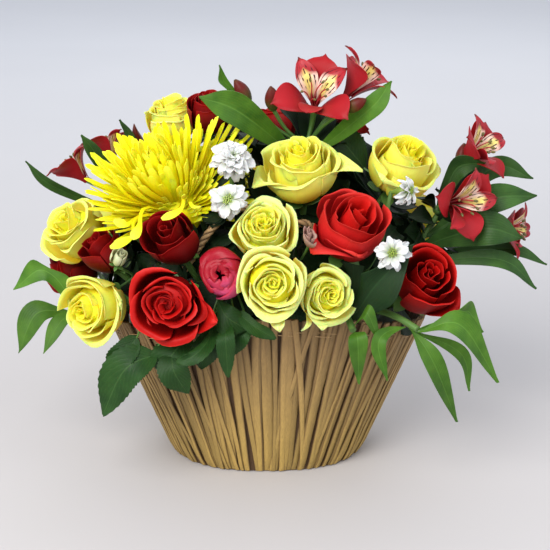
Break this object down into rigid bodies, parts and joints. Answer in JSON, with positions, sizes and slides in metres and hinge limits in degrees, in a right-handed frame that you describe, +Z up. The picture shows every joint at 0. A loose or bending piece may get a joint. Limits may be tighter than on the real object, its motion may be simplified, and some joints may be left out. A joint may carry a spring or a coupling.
{
  "type": "flower basket arrangement",
  "caption": "Cut-flower arrangement in a bag-shaped basket of upright paper strips with cord handles: roses, a spider chrysanthemum, alstroemeria, daisies and leafy stems in wet foam.",
  "frame": {"origin": "centre of the basket's flat foot, on the surface it stands on", "axes": "+Z up, +X to the right seen from the front, -Y towards the viewer in front"},
  "size_m": [0.3699, 0.2317, 0.2836],
  "materials": {
    "paper": "matte",
    "board": "matte",
    "film": "gloss",
    "foam": "matte",
    "cord": "matte",
    "red_petal": "satin",
    "yellow_petal": "satin",
    "lemon_petal": "satin",
    "pink_petal": "satin",
    "mum_petal": "satin",
    "white_petal": "satin",
    "lily_petal": "satin",
    "green": "satin"
  },
  "bodies": {
    "root": {"alstroemeria_left": "lily_petal", "alstroemeria_left_stem": "green", "alstroemeria_right": "lily_petal", "alstroemeria_right_stem": "green", "alstroemeria_top": "lily_petal", "alstroemeria_top_stem": "green", "basket_board": "board", "basket_wall": "paper", "chrysanthemum": "mum_petal", "chrysanthemum_stem": "green", "daisy_1": "white_petal", "daisy_2": "white_petal", "daisy_3": "white_petal", "daisy_4": "white_petal", "daisy_stem_left": "green", "daisy_stem_right": "green", "foam": "foam", "handle_back": "cord", "handle_front": "cord", "leafy_stem_back": "green", "leafy_stem_centre": "green", "leafy_stem_left": "green", "leafy_stem_right": "green", "liner": "film", "pink_bloom": "pink_petal", "pink_bloom_stem": "green", "rose_red_1": "red_petal", "rose_red_10": "red_petal", "rose_red_1_stem": "green", "rose_red_2": "red_petal", "rose_red_2_stem": "green", "rose_red_3": "red_petal", "rose_red_3_stem": "green", "rose_red_4": "red_petal", "rose_red_5": "red_petal", "rose_red_5_stem": "green", "rose_red_6": "red_petal", "rose_red_6_stem": "green", "rose_red_7": "red_petal", "rose_red_8": "red_petal", "rose_red_9": "red_petal", "rose_yellow_1": "yellow_petal", "rose_yellow_1_stem": "green", "rose_yellow_2": "yellow_petal", "rose_yellow_2_stem": "green", "rose_yellow_3": "yellow_petal", "rose_yellow_3_stem": "green", "rose_yellow_4": "yellow_petal", "rose_yellow_4_stem": "green", "rose_yellow_5": "yellow_petal", "rose_yellow_6": "yellow_petal", "rose_yellow_7": "yellow_petal", "rose_yellow_8": "yellow_petal", "spray_rose_1": "lemon_petal", "spray_rose_2": "lemon_petal", "spray_rose_3": "lemon_petal", "spray_rose_stem": "green"}
  },
  "joints": []
}
